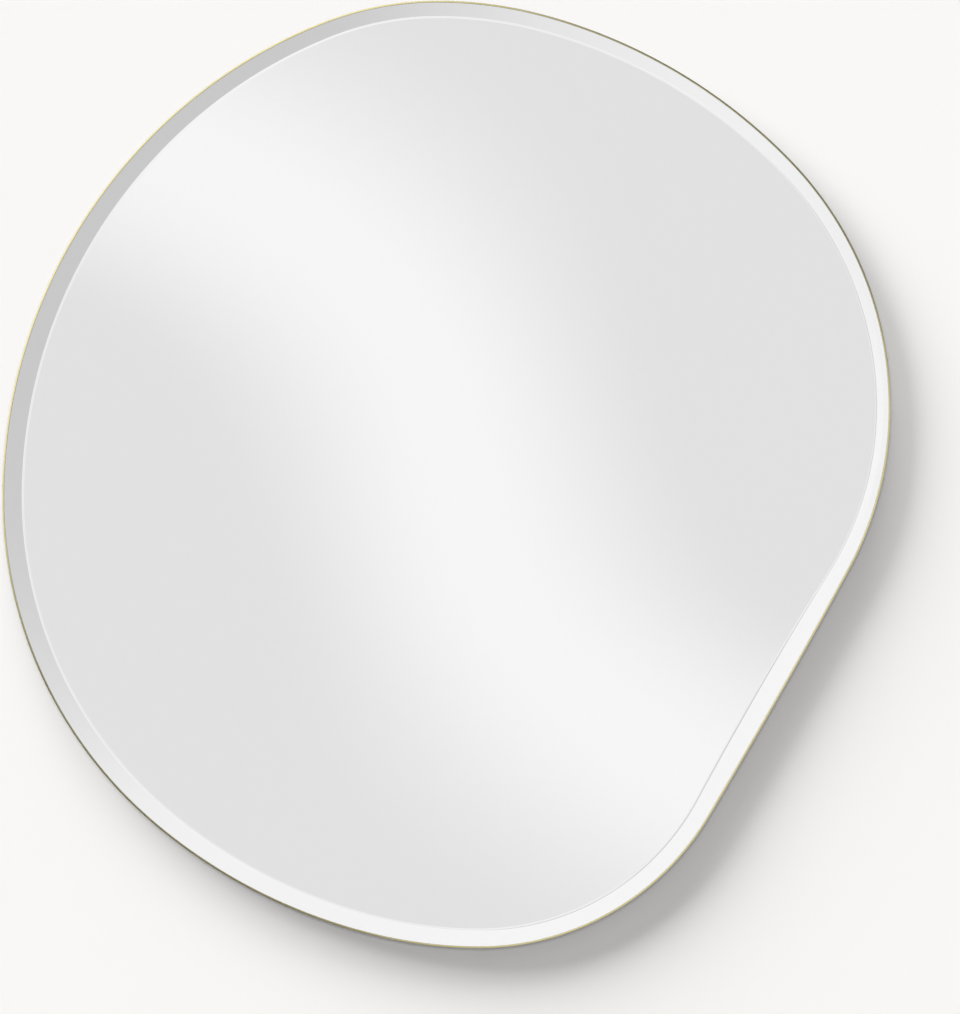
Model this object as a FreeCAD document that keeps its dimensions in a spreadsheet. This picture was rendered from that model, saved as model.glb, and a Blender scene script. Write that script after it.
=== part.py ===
import FreeCAD, Part
import math
import os
import re
import Sketcher

# A wall mirror: bevelled glass with a pebble outline, a thin metal band round its edge, and a backing board
# that hangs from two D-rings.
# The wall is the plane y = 0, the mirror faces -Y, X runs to the right and Z up.
# The origin lies on the wall, behind the middle of the outline's box.

Vector = FreeCAD.Vector

# Driving lengths in millimetres: name, size, meaning.
SIZES = (
    ("mirror_width", 750, "overall width across the rim"),
    ("mirror_height", 800, "overall height across the rim"),
    ("right_rise", 57, "height of the outline's right-most point"),
    ("top_offset", -8, "sideways place of its highest point"),
    ("left_drop", 19, "drop of its left-most point"),
    ("bottom_offset", 27.5, "sideways place of its lowest point"),
    ("upper_right_radius", 455, "upper right flank"),
    ("upper_left_radius", 421, "upper left flank"),
    ("lower_left_radius", 453, "lower left flank"),
    ("lower_right_radius", 6000, "nearly straight lower right flank"),
    ("ridge_hollow_radius", 3000, "slightly hollow lower right flank of the bevel's ridge"),
    ("right_bevel", 10.25, "width of the bevel at the right"),
    ("top_bevel", 11.9, "width of the bevel at the top"),
    ("left_bevel", 15.8, "width of the bevel at the left"),
    ("bottom_bevel", 13.75, "width of the bevel at the bottom"),
    ("glass_thickness", 5, "thickness of the glass"),
    ("edge_land", 2.5, "thickness of glass left at its edge below the bevel"),
    ("glass_gap", 0.15, "gap between glass and rim"),
    ("coat_thickness", 0.2, "silvering with its paint"),
    ("coat_margin", 0.5, "silvering stops short of the glass edge"),
    ("film_thickness", 0.2, "safety film"),
    ("film_margin", 2, "film stops short of the glass edge"),
    ("rim_thickness", 1.6, "thickness of the metal band"),
    ("rim_lip", 0.6, "rim stands proud of the bevel's outer edge"),
    ("rim_wall_gap", 2.5, "rim stops short of the wall"),
    ("rim_chamfer", 0.5, "broken front edges of the rim"),
    ("tape_thickness", 1, "double-sided foam tape"),
    ("tape_width", 25, "width of a tape strip"),
    ("tape_spacing", 150, "distance between tape strips"),
    ("tape_inner_length", 480, "length of the two inner strips"),
    ("tape_outer_length", 300, "length of the two outer strips"),
    ("bead_width", 18, "bead of mirror adhesive, pressed flat"),
    ("bead_length", 420, "length of a bead"),
    ("board_thickness", 9, "backing board"),
    ("board_gap", 0.5, "gap between board and rim"),
    ("tab_width", 12, "rim tab along the rim"),
    ("tab_length", 20, "rim tab's foot on the board"),
    ("tab_thickness", 1.5, "sheet of the rim tab"),
    ("tab_setback", 1.5, "tab stops short of the rim's back edge"),
    ("tab_hole_place", 12, "screw hole of the tab, from the rim"),
    ("tab_corner", 3, "cut corners of the tab's foot"),
    ("tab_bend", 2, "outer radius of the tab's bend"),
    ("weld_gap", 0.2, "flat tab against the curved rim"),
    ("screw_shank", 3, "diameter of the wood screws"),
    ("screw_head", 7, "diameter of the pan heads"),
    ("screw_head_height", 2.2, "height of the pan heads"),
    ("screw_bite", 6.5, "depth of the screws in the board"),
    ("pilot_clearance", 0.1, "pilot hole wider than the shank"),
    ("pilot_extra", 1, "pilot hole deeper than the screw"),
    ("hole_clearance", 0.6, "hole in a clamped piece wider than the shank"),
    ("hanger_spacing", 320, "distance between the two D-rings"),
    ("hanger_height", 190, "height of the D-rings' pivots"),
    ("strap_width", 14, "hanger strap"),
    ("strap_length", 50, "hanger strap below the pivot"),
    ("strap_thickness", 1.5, "sheet of the strap"),
    ("strap_corner", 4, "cut lower corners of the strap"),
    ("strap_hole_first", 26, "first screw hole below the pivot"),
    ("strap_hole_pitch", 16, "distance between the two screw holes"),
    ("eye_clearance", 0.1, "ring wire in the rolled eye"),
    ("wire_diameter", 3, "wire of the D-ring"),
    ("ring_side_gap", 1, "straight bar of the ring beside the strap"),
    ("ring_corner", 4, "bend radius at the ends of the ring's bar"),
    ("ring_leg", 2, "straight legs of the ring"),
    ("ring_rest_gap", 0.3, "resting ring to the board"),
    ("bumper_height", 9, "rubber bumper between board and wall"),
    ("bumper_diameter", 16, "diameter of the bumper"),
    ("bumper_top_side", 155, "upper bumpers in from the sides of the outline's box"),
    ("bumper_bottom_side", 195, "lower bumpers in from the sides of the outline's box"),
    ("bumper_top_drop", 170, "upper bumpers down from the top of the outline's box"),
    ("bumper_bottom_rise", 150, "lower bumpers up from the bottom of the outline's box"),
)

# Degrees that the outline's arcs turn on each side of its four outermost points.
TURNS = (
    ("right_upper_turn", 44, "above the right-most point"),
    ("top_right_turn", 15, "right of the highest point"),
    ("top_left_turn", 21.5, "left of the highest point"),
    ("left_upper_turn", 45, "above the left-most point"),
    ("left_lower_turn", 50, "below the left-most point"),
    ("bottom_left_turn", 13, "left of the lowest point"),
    ("bottom_right_turn", 59.3, "right of the lowest point"),
    ("flank_bend", 2.3, "along the lower right flank"),
    ("ridge_right_turn", 62, "right of the ridge's lowest point"),
    ("ridge_bend", 4.2, "back along the ridge's hollow flank"),
)

# Sizes that follow from the ones above.
DERIVED = (
    ("right_lower_turn", "90 deg - bottom_right_turn - flank_bend", "below the right-most point"),
    ("ridge_lower_turn", "90 deg - ridge_right_turn + ridge_bend", "below the ridge's right-most point"),
    ("board_front", "bumper_height + board_thickness", "front of the board, from the wall"),
    ("film_back", "board_front + tape_thickness", "back of the film, from the wall"),
    ("coat_back", "film_back + film_thickness", "back of the silvering, from the wall"),
    ("glass_back", "coat_back + coat_thickness", "back of the glass, from the wall"),
    ("rim_depth", "glass_back + edge_land + rim_lip - rim_wall_gap", "width of the band"),
    ("glass_inset", "rim_thickness + glass_gap", "glass edge inside the outline"),
    ("coat_inset", "glass_inset + coat_margin", "edge of the silvering inside the outline"),
    ("film_inset", "glass_inset + film_margin", "edge of the film inside the outline"),
    ("board_inset", "rim_thickness + board_gap", "board edge inside the outline"),
    ("tab_inset", "rim_thickness + weld_gap", "tab inside the outline"),
    ("tab_hole_inset", "tab_inset + tab_hole_place", "tab's screw inside the outline"),
    ("tab_leg", "bumper_height - rim_wall_gap - tab_setback", "height of the tab's leg"),
    ("bore_radius", "(screw_shank + hole_clearance) / 2", "hole in a clamped piece"),
    ("pilot_radius", "(screw_shank + pilot_clearance) / 2", "pilot hole"),
    ("pivot_height", "wire_diameter / 2 + eye_clearance + strap_thickness", "ring's pivot over the board"),
    ("ring_half_bar", "strap_width / 2 + ring_side_gap", "half of the ring's straight bar"),
    ("ring_reach", "ring_half_bar + 2 * ring_corner + ring_leg", "ring's bow from its pivot"),
    ("ring_drop", "pivot_height - wire_diameter / 2 - ring_rest_gap", "how far the resting bow leans back"),
)

# The outline's outermost points for a given inset, counter-clockwise from the right.
OUTERMOST = (
    ("mirror_width / 2 - {0}", "right_rise"),
    ("top_offset", "mirror_height / 2 - {0}"),
    ("{0} - mirror_width / 2", "-left_drop"),
    ("bottom_offset", "{0} - mirror_height / 2"),
)
# The quarter that follows each of them: turn of its first arc, radius of its flank, turn of its last arc.
QUARTERS = (
    ("right_upper_turn", "upper_right_radius", "top_right_turn"),
    ("top_left_turn", "upper_left_radius", "left_upper_turn"),
    ("left_lower_turn", "lower_left_radius", "bottom_left_turn"),
    ("bottom_right_turn", "lower_right_radius", "right_lower_turn"),
)
# The bevel is widest along the lower right flank, where its ridge is hollow.
HOLLOW = "ridge_hollow_radius"
RIDGE_QUARTERS = QUARTERS[:3] + (("ridge_right_turn", HOLLOW, "ridge_lower_turn"),)
BEVELS = ("right_bevel", "top_bevel", "left_bevel", "bottom_bevel")

# Sketcher's numbers for the places on an edge, the origin and the axes.
START, END, CENTRE = range(1, 4)
X_AXIS, Y_AXIS = range(-1, -3, -1)
ROOT_POINT = (X_AXIS, START)
THROUGH_ALL = START

doc = FreeCAD.newDocument("wall_mirror")
sheet = doc.addObject("Spreadsheet::Sheet", "Dim")
cells = [(alias, str(size), meaning) for alias, size, meaning in SIZES]
cells += [(alias, "=%s deg" % turn, "degrees turned " + meaning) for alias, turn, meaning in TURNS]
cells += [(alias, "=" + formula, meaning) for alias, formula, meaning in DERIVED]
for row, (alias, content, meaning) in enumerate(cells, start=1):
    sheet.set("A%d" % row, meaning)
    sheet.setAlias("B%d" % row, alias)
    sheet.set("B%d" % row, content)
doc.recompute()


def bound(expression):
    """The expression with each size name, but no function name, led to its cell in the sheet."""
    return re.sub(r"[a-z]\w*\b(?!\()", r"Dim.\g<0>", expression)


def number(expression):
    return float(sheet.evalExpression(bound(expression)))


def tie(item, prop, expression):
    item.setExpression(prop, bound(expression))


def place(item, x="0", y="0", z="0"):
    """Bind the item's place to the sheet."""
    for axis, expression in (("x", x), ("y", y), ("z", z)):
        tie(item, "Placement.Base." + axis, expression)
    return item


def new_body(label):
    body = doc.addObject("PartDesign::Body", label)
    body.Label = label
    return body


def new_sketch(body, name, role, depth="0"):
    """A sketch on one of the body's own planes, moved along the plane's normal by depth."""
    sketch = body.newObject("Sketcher::SketchObject", name)
    plane = next(item for item in body.Origin.OriginFeatures if item.Role == role)
    sketch.AttachmentSupport = [(plane, "")]
    sketch.MapMode = "FlatFace"
    tie(sketch, "AttachmentOffset.Base.z", depth)
    return sketch


def measure(sketch, kind, *where, size):
    """Add a dimension to the sketch and tie it to the sheet."""
    value = math.radians(number(size)) if kind == "Angle" else number(size)
    index = sketch.addConstraint(Sketcher.Constraint(kind, *where, value))
    tie(sketch, "Constraints[%d]" % index, size)


def locate(sketch, edge, spot, x, y):
    """Fix a point of an edge at sheet-driven coordinates."""
    if x == "0":
        sketch.addConstraint(Sketcher.Constraint("PointOnObject", edge, spot, Y_AXIS))
    else:
        measure(sketch, "DistanceX", *ROOT_POINT, edge, spot, size=x)
    if y == "0":
        sketch.addConstraint(Sketcher.Constraint("PointOnObject", edge, spot, X_AXIS))
    else:
        measure(sketch, "DistanceY", *ROOT_POINT, edge, spot, size=y)


def draw_polygon(sketch, *corners):
    """A closed outline of straight lines through sheet-driven corners."""
    points = [Vector(number(x), number(y), 0) for x, y in corners]
    lines = []
    for here, there in zip(points, points[1:] + points[:1]):
        lines.append(sketch.addGeometry(Part.LineSegment(here, there), False))
    for line, following in zip(lines, lines[1:] + lines[:1]):
        sketch.addConstraint(Sketcher.Constraint("Coincident", line, END, following, START))
    for line, (x, y) in zip(lines, corners):
        locate(sketch, line, START, x, y)


def draw_circle(sketch, radius, x="0", y="0"):
    middle = Vector(number(x), number(y), 0)
    circle = sketch.addGeometry(Part.Circle(middle, Vector(0, 0, 1), number(radius)), False)
    measure(sketch, "Radius", circle, size=radius)
    locate(sketch, circle, CENTRE, x, y)


def ray(angle):
    return Vector(math.cos(angle), math.sin(angle), 0)


def quarter_arcs(begin, finish, normal, first_turn, flank_radius, last_turn):
    """A quarter's three tangent arcs as centre, radius, start and end angle; a hollow radius is negative.

    The quarter leaves its first point square to the normal and turns by a right angle up to its last one.
    Its flank is given, so the two other radii follow from the way that remains."""
    way = finish - begin
    inward, onward = -way.dot(ray(normal)), way.dot(ray(normal + math.pi / 2))
    near, far = ray(first_turn), ray(math.pi / 2 - last_turn)
    inward -= flank_radius * (near.x - far.x)
    onward -= flank_radius * (far.y - near.y)
    determinant = (1 - near.x) * (1 - far.y) - far.x * near.y
    first_radius = (inward * (1 - far.y) - onward * far.x) / determinant
    last_radius = (onward * (1 - near.x) - inward * near.y) / determinant
    angles = (normal, normal + first_turn, normal + math.pi / 2 - last_turn, normal + math.pi / 2)
    arcs = []
    point = begin
    for radius, start, end in zip((first_radius, flank_radius, last_radius), angles, angles[1:]):
        centre = point - ray(start) * radius
        arcs.append((centre, radius, start, end))
        point = centre + ray(end) * radius
    return arcs


def draw_outline(sketch, insets, quarters=QUARTERS):
    """The pebble outline, moved inwards by one inset for each outermost point.

    Each quarter is three tangent arcs. A hollow flank bends the other way."""
    spots = [(x.format("(%s)" % inset), z.format("(%s)" % inset))
             for (x, z), inset in zip(OUTERMOST, insets)]
    points = [Vector(number(x), number(z), 0) for x, z in spots]
    count = 3 * len(quarters)
    for index, (first_turn, flank, last_turn) in enumerate(quarters):
        following = (index + 1) % len(quarters)
        side = -1 if flank == HOLLOW else 1
        flank_radius = "%s - %d * (%s + %s) / 2" % (flank, side, insets[index], insets[following])
        turns = math.radians(number(first_turn)), math.radians(number(last_turn))
        arcs = quarter_arcs(points[index], points[following], index * math.pi / 2,
                            turns[0], side * number(flank_radius), turns[1])
        first, middle, last = [sketch.addGeometry(Part.ArcOfCircle(
            Part.Circle(centre, Vector(0, 0, 1), abs(radius)),
            *((start, end) if radius > 0 else (end + math.pi, start + math.pi))), False)
            for centre, radius, start, end in arcs]
        near, far = (END, START) if flank == HOLLOW else (START, END)
        sketch.addConstraint(Sketcher.Constraint("Tangent", first, END, middle, near))
        sketch.addConstraint(Sketcher.Constraint("Tangent", middle, far, last, START))
        locate(sketch, first, START, *spots[index])
        level = "Vertical" if index % 2 else "Horizontal"
        sketch.addConstraint(Sketcher.Constraint(level, first, START, first, CENTRE))
        measure(sketch, "Radius", middle, size=flank_radius)
        measure(sketch, "Angle", first, size=first_turn)
        measure(sketch, "Angle", last, size=last_turn)
    for last in range(2, count, 3):
        sketch.addConstraint(Sketcher.Constraint("Tangent", last, END, (last + 1) % count, START))


def draw_even_outline(sketch, inset):
    draw_outline(sketch, [inset] * len(QUARTERS))


def pad(body, sketch, length, midplane=False):
    feature = body.newObject("PartDesign::Pad", sketch.Name + "_pad")
    feature.Profile = sketch
    feature.Midplane = midplane
    tie(feature, "Length", length)
    return feature


def pocket(body, sketch, depth=None, reverse=False):
    """A cut as deep as given, or right through."""
    feature = body.newObject("PartDesign::Pocket", sketch.Name + "_pocket")
    feature.Profile = sketch
    feature.Reversed = reverse
    if depth:
        tie(feature, "Length", depth)
    else:
        feature.Type = THROUGH_ALL
    return feature


def revolve(body, sketch):
    """Turn a profile about its own vertical axis."""
    feature = body.newObject("PartDesign::Revolution", sketch.Name + "_turned")
    feature.Profile = sketch
    feature.ReferenceAxis = (sketch, ["V_Axis"])
    feature.Angle = 360
    return feature


def soften(body, kind, feature, size, chosen):
    """Round or chamfer the edges of the feature that the test chooses."""
    doc.recompute()
    names = ["Edge%d" % index for index, edge in enumerate(feature.Shape.Edges, start=1) if chosen(edge)]
    dressing = body.newObject("PartDesign::" + kind, feature.Name + "_" + kind.lower())
    dressing.Base = (feature, names)
    tie(dressing, "Radius" if kind == "Fillet" else "Size", size)
    return dressing


def lies_at(edge, **coordinates):
    """Whether the whole edge keeps the given coordinates."""
    box = edge.BoundBox
    spans = {"x": (box.XMin, box.XMax), "y": (box.YMin, box.YMax), "z": (box.ZMin, box.ZMax)}
    return all(abs(end - value) < 0.01 for axis, value in coordinates.items() for end in spans[axis])


def layer(label, inset, depth, thickness):
    """A flat sheet with the pebble outline."""
    body = new_body(label)
    sketch = new_sketch(body, label + "_outline", "XZ_Plane")
    draw_even_outline(sketch, inset)
    pad(body, sketch, thickness)
    return place(body, y="-" + depth)


def mirror_glass():
    """Float glass: a plain edge below, and a bevel of changing width that rises to the ridge line."""
    body = layer("mirror_glass", "glass_inset", "glass_back", "edge_land")
    foot = new_sketch(body, "bevel_foot", "XZ_Plane", "edge_land")
    draw_even_outline(foot, "glass_inset")
    ridge = new_sketch(body, "bevel_ridge", "XZ_Plane", "glass_thickness")
    draw_outline(ridge, ["glass_inset + " + bevel for bevel in BEVELS], RIDGE_QUARTERS)
    bevel = body.newObject("PartDesign::AdditiveLoft", "bevel")
    bevel.Profile = foot
    bevel.Sections = [ridge]
    bevel.Ruled = True
    return body


def rim_band():
    """A flat bar on edge, bent to the outline, with broken front edges."""
    body = new_body("rim_band")
    outside = new_sketch(body, "rim_outside", "XZ_Plane")
    draw_even_outline(outside, "0")
    pad(body, outside, "rim_depth")
    inside = new_sketch(body, "rim_inside", "XZ_Plane")
    draw_even_outline(inside, "rim_thickness")
    band = pocket(body, inside, reverse=True)
    front = -number("rim_depth")
    soften(body, "Chamfer", band, "rim_chamfer", lambda edge: lies_at(edge, y=front))
    return place(body, y="-rim_wall_gap")


def backing_board(screw_places):
    """The board with a blind pilot hole for every screw."""
    body = new_body("backing_board")
    sketch = new_sketch(body, "board_outline", "XZ_Plane")
    draw_even_outline(sketch, "board_inset")
    pad(body, sketch, "board_thickness")
    holes = new_sketch(body, "pilot_holes", "XZ_Plane")
    for x, z in screw_places:
        draw_circle(holes, "pilot_radius", x, z)
    pocket(body, holes, "screw_bite + pilot_extra", reverse=True)
    return place(body, y="-bumper_height")


def upright_strip(label, column, width, length):
    """A flat strip between film and board, in one of the columns that the tape spacing sets."""
    strip = doc.addObject("Part::Box", label)
    tie(strip, "Length", width)
    tie(strip, "Width", "tape_thickness")
    tie(strip, "Height", length)
    return place(strip, "%s * tape_spacing - %s / 2" % (column, width), "-film_back", "-%s / 2" % length)


def tape_strips():
    """Four upright strips of foam tape, the outer two shorter to stay inside the outline."""
    strips = []
    for index, column in enumerate((-1.5, -0.5, 0.5, 1.5), start=1):
        length = "tape_inner_length" if abs(column) < 1 else "tape_outer_length"
        strips.append(upright_strip("tape_strip_%d" % index, column, "tape_width", length))
    return strips


def adhesive_beads():
    """Pressed beads of mirror adhesive, one between each two tape strips."""
    group = doc.addObject("Part::Compound", "adhesive_beads")
    group.Links = [upright_strip("bead", column, "bead_width", "bead_length") for column in (-1, 0, 1)]
    return group


def rim_tab(label, turn, x, z):
    """An L of sheet steel: its leg stands along the rim and its foot lies on the board."""
    body = new_body(label)
    profile = new_sketch(body, label + "_profile", "YZ_Plane")
    draw_polygon(profile, ("0", "-tab_length"), ("tab_thickness", "-tab_length"),
                 ("tab_thickness", "-tab_thickness"), ("tab_leg", "-tab_thickness"), ("tab_leg", "0"),
                 ("0", "0"))
    bent = pad(body, profile, "tab_width", midplane=True)
    bent = soften(body, "Fillet", bent, "tab_bend", lambda edge: lies_at(edge, y=0, z=0))
    far_end = -number("tab_length")
    half = number("tab_width") / 2
    soften(body, "Chamfer", bent, "tab_corner",
           lambda edge: lies_at(edge, z=far_end, x=half) or lies_at(edge, z=far_end, x=-half))
    hole = new_sketch(body, label + "_hole", "XZ_Plane")
    draw_circle(hole, "bore_radius", y="-tab_hole_place")
    pocket(body, hole)
    body.Placement.Rotation = FreeCAD.Rotation(Vector(0, 1, 0), turn)
    return place(body, x, "-bumper_height", z)


def hanger_strap(label, x):
    """A steel strap whose upper end is rolled into an eye round the ring's bar, with two screw holes."""
    body = new_body(label)
    face = new_sketch(body, label + "_face", "XZ_Plane", "-strap_thickness")
    half = "strap_width / 2"
    draw_polygon(face, ("-" + half, "-strap_length"), (half, "-strap_length"),
                 (half, "0"), ("-" + half, "0"))
    blank = pad(body, face, "strap_thickness")
    low_end = -number("strap_length")
    side = number(half)
    soften(body, "Chamfer", blank, "strap_corner",
           lambda edge: lies_at(edge, z=low_end, x=side) or lies_at(edge, z=low_end, x=-side))
    eye = new_sketch(body, label + "_eye", "YZ_Plane")
    draw_circle(eye, "pivot_height", x="pivot_height")
    pad(body, eye, "strap_width", midplane=True)
    bore = new_sketch(body, label + "_bore", "YZ_Plane", "-strap_width")
    draw_circle(bore, "wire_diameter / 2 + eye_clearance", x="pivot_height")
    pocket(body, bore, reverse=True)
    holes = new_sketch(body, label + "_holes", "XZ_Plane")
    draw_circle(holes, "bore_radius", y="-strap_hole_first")
    draw_circle(holes, "bore_radius", y="-strap_hole_first - strap_hole_pitch")
    pocket(body, holes)
    return place(body, x, "-bumper_height", "hanger_height")


def draw_ring_path(sketch):
    """A D from the middle of its bar: bar, bend, leg, bow, leg, bend and bar again."""
    half_bar = number("ring_half_bar")
    bend = number("ring_corner")
    shoulder = bend + number("ring_leg")
    wide = half_bar + bend
    normal = Vector(0, 0, 1)
    quarter = math.pi / 2
    edges = (
        Part.LineSegment(Vector(0, 0, 0), Vector(half_bar, 0, 0)),
        Part.ArcOfCircle(Part.Circle(Vector(half_bar, bend, 0), normal, bend), -quarter, 0),
        Part.LineSegment(Vector(wide, bend, 0), Vector(wide, shoulder, 0)),
        Part.ArcOfCircle(Part.Circle(Vector(0, shoulder, 0), normal, wide), 0, 2 * quarter),
        Part.LineSegment(Vector(-wide, shoulder, 0), Vector(-wide, bend, 0)),
        Part.ArcOfCircle(Part.Circle(Vector(-half_bar, bend, 0), normal, bend), 2 * quarter, 3 * quarter),
        Part.LineSegment(Vector(-half_bar, 0, 0), Vector(0, 0, 0)),
    )
    for edge in edges:
        sketch.addGeometry(edge, False)
    right_bar, right_bend, right_leg, _, left_leg, left_bend, left_bar = range(len(edges))
    for edge in range(left_bar):
        sketch.addConstraint(Sketcher.Constraint("Tangent", edge, END, edge + 1, START))
    sketch.addConstraint(Sketcher.Constraint("Coincident", right_bar, START, *ROOT_POINT))
    sketch.addConstraint(Sketcher.Constraint("Coincident", left_bar, END, *ROOT_POINT))
    for bar in (right_bar, left_bar):
        sketch.addConstraint(Sketcher.Constraint("Horizontal", bar))
        measure(sketch, "Distance", bar, size="ring_half_bar")
    for leg in (right_leg, left_leg):
        sketch.addConstraint(Sketcher.Constraint("Vertical", leg))
    for corner in (right_bend, left_bend):
        measure(sketch, "Radius", corner, size="ring_corner")
    measure(sketch, "Distance", right_leg, size="ring_leg")


def hanger_ring(label, x):
    """A D-ring whose bar turns in the strap's eye; at rest it leans back onto the board.

    The section has eight sides, which is round enough for so thin a wire."""
    body = new_body(label)
    path = new_sketch(body, label + "_path", "XZ_Plane")
    draw_ring_path(path)
    wire = new_sketch(body, label + "_wire", "YZ_Plane")
    sides = 8
    corners = [360 * (step + 0.5) / sides for step in range(sides)]
    draw_polygon(wire, *(("wire_diameter / 2 * cos(%s)" % angle, "wire_diameter / 2 * sin(%s)" % angle)
                         for angle in corners))
    sweep = body.newObject("PartDesign::AdditivePipe", label + "_sweep")
    sweep.Profile = wire
    sweep.Spine = path
    lean = math.degrees(math.asin(number("ring_drop / ring_reach")))
    body.Placement.Rotation = FreeCAD.Rotation(Vector(1, 0, 0), lean)
    return place(body, x, "pivot_height - bumper_height", "hanger_height")


def wall_bumper(label, x, z):
    """A round rubber spacer, stuck to the board."""
    bumper = doc.addObject("Part::Cylinder", label)
    tie(bumper, "Radius", "bumper_diameter / 2")
    tie(bumper, "Height", "bumper_height")
    bumper.Placement.Rotation = FreeCAD.Rotation(Vector(1, 0, 0), -90)
    return place(bumper, x, "-bumper_height", z)


def screw(label, clamped):
    """A pan-head wood screw; its origin lies under the head."""
    body = new_body(label)
    length = "(%s + screw_bite)" % clamped
    profile = new_sketch(body, label + "_profile", "XY_Plane")
    draw_polygon(profile, ("0", "screw_head_height"), ("screw_head / 2", "screw_head_height"),
                 ("screw_head / 2", "0"), ("screw_shank / 2", "0"),
                 ("screw_shank / 2", "-" + length), ("0", "-" + length))
    revolve(body, profile)
    return body


def screw_group(label, clamped, places):
    """Copies of one screw, heads towards the wall, as one group of separate solids."""
    pattern = screw(label + "_pattern", clamped)
    copies = []
    for x, z in places:
        copy = doc.addObject("App::Link", label + "_copy")
        copy.LinkedObject = pattern
        copies.append(place(copy, x, "%s - bumper_height" % clamped, z))
    group = doc.addObject("Part::Compound", label)
    group.Links = copies
    return group


def rim_spots(inset):
    """Places inside the outline's four outermost points."""
    return [(x.format(inset), z.format(inset)) for x, z in OUTERMOST]


# Where things stand on the back of the board.
hanger_columns = {"left": "-hanger_spacing / 2", "right": "hanger_spacing / 2"}
bumper_spots = (
    ("bumper_top_side - mirror_width / 2", "mirror_height / 2 - bumper_top_drop"),
    ("mirror_width / 2 - bumper_top_side", "mirror_height / 2 - bumper_top_drop"),
    ("bumper_bottom_side - mirror_width / 2", "bumper_bottom_rise - mirror_height / 2"),
    ("mirror_width / 2 - bumper_bottom_side", "bumper_bottom_rise - mirror_height / 2"),
)
tab_screw_places = rim_spots("tab_hole_inset")
hanger_screw_places = [(column, "hanger_height - strap_hole_first - %d * strap_hole_pitch" % step)
                       for column in hanger_columns.values() for step in (0, 1)]

subparts = [
    mirror_glass(),
    layer("silver_coat", "coat_inset", "coat_back", "coat_thickness"),
    layer("safety_film", "film_inset", "film_back", "film_thickness"),
    rim_band(),
    backing_board(tab_screw_places + hanger_screw_places),
    adhesive_beads(),
]
subparts += tape_strips()
for index, (x, z) in enumerate(rim_spots("tab_inset")):
    subparts.append(rim_tab("rim_tab_%d" % (index + 1), 90 - 90 * index, x, z))
for side, column in hanger_columns.items():
    subparts.append(hanger_strap("hanger_strap_" + side, column))
    subparts.append(hanger_ring("hanger_ring_" + side, column))
for index, (x, z) in enumerate(bumper_spots):
    subparts.append(wall_bumper("wall_bumper_%d" % (index + 1), x, z))
subparts.append(screw_group("tab_screws", "tab_thickness", tab_screw_places))
subparts.append(screw_group("hanger_screws", "strap_thickness", hanger_screw_places))

doc.recompute()
for item in doc.Objects:
    if "Invalid" in item.State or "Error" in item.State:
        raise RuntimeError("%s failed: %s" % (item.Name, item.State))
for item in subparts:
    if item.Shape.isNull() or not item.Shape.isValid():
        raise RuntimeError("%s has no valid shape" % item.Label)

os.makedirs("parts", exist_ok=True)
for item in subparts:
    item.Shape.exportStep("parts/%s.step" % item.Label)
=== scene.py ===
import math

import bmesh
import bpy
import numpy as np
from mathutils import Matrix, Vector


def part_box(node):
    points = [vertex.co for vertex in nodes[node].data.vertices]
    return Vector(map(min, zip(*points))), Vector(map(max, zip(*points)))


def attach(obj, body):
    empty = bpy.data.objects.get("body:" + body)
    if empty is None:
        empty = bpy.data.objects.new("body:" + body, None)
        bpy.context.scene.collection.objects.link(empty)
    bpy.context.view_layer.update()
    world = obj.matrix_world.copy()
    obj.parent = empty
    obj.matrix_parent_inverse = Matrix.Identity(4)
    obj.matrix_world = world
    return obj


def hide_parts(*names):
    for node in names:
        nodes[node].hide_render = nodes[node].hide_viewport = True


# A wall mirror seen straight on: bevelled glass of pebble outline in a thin brass band, on a white wall.
# Metres throughout. The wall is the plane y = 0, the mirror faces -Y, X runs to the right and Z up.

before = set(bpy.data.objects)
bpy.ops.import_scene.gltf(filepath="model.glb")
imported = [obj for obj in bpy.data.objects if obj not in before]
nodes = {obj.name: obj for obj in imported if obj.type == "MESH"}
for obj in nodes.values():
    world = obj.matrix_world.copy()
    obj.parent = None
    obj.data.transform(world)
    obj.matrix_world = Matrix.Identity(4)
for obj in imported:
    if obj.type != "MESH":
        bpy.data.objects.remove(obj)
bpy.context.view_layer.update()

MM = 0.001

# The outline: how far each outermost point lies along its side, counter-clockwise from the right.
SIDE_PLACES = (57 * MM, -8 * MM, -19 * MM, 27.5 * MM)
# The quarter after each of them: turn of its first arc, radius of its flank, turn of its last arc.
QUARTERS = (
    (44, 455 * MM, 15),
    (21.5, 421 * MM, 45),
    (50, 453 * MM, 13),
    (59.3, 6000 * MM, 28.4),
)
# The bevel's ridge has a hollow flank at the lower right, so that radius is below zero.
RIDGE_QUARTERS = QUARTERS[:3] + ((62, -3000 * MM, 32.2),)
ARC_STEPS = 40

# Shading of the meshes: edges above the sharp angle show, and those above the broken angle are bevelled.
SHARP_ANGLE = math.radians(35)
BROKEN_ANGLE = math.radians(40)
BROKEN_SEGMENTS = 2
FLAT_FACE_WEIGHT = 100

# The glass.
BEVELS = (10.25 * MM, 11.9 * MM, 15.8 * MM, 13.75 * MM)
EDGE_LAND = 2.5 * MM
RIDGE_ROUNDING = 1.2 * MM
RIDGE_STEPS = 6
GLASS_CLEARANCE = 0.02 * MM
COAT_OVERLAP = 0.05 * MM
COAT_MARGIN = 0.05 * MM

# The brass band.
RIM_THICKNESS = 1.6 * MM
RIM_CROWN_RADIUS = 2.3 * MM
RIM_CROWN_TILTS = (math.radians(45), math.radians(15))
RIM_INNER_ROUNDING = 0.5 * MM
RIM_BACK_ROUNDING = 0.2 * MM
ROUNDING_STEPS = 8

# The board's broken edges.
BOARD_EDGE = 0.6 * MM

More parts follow.
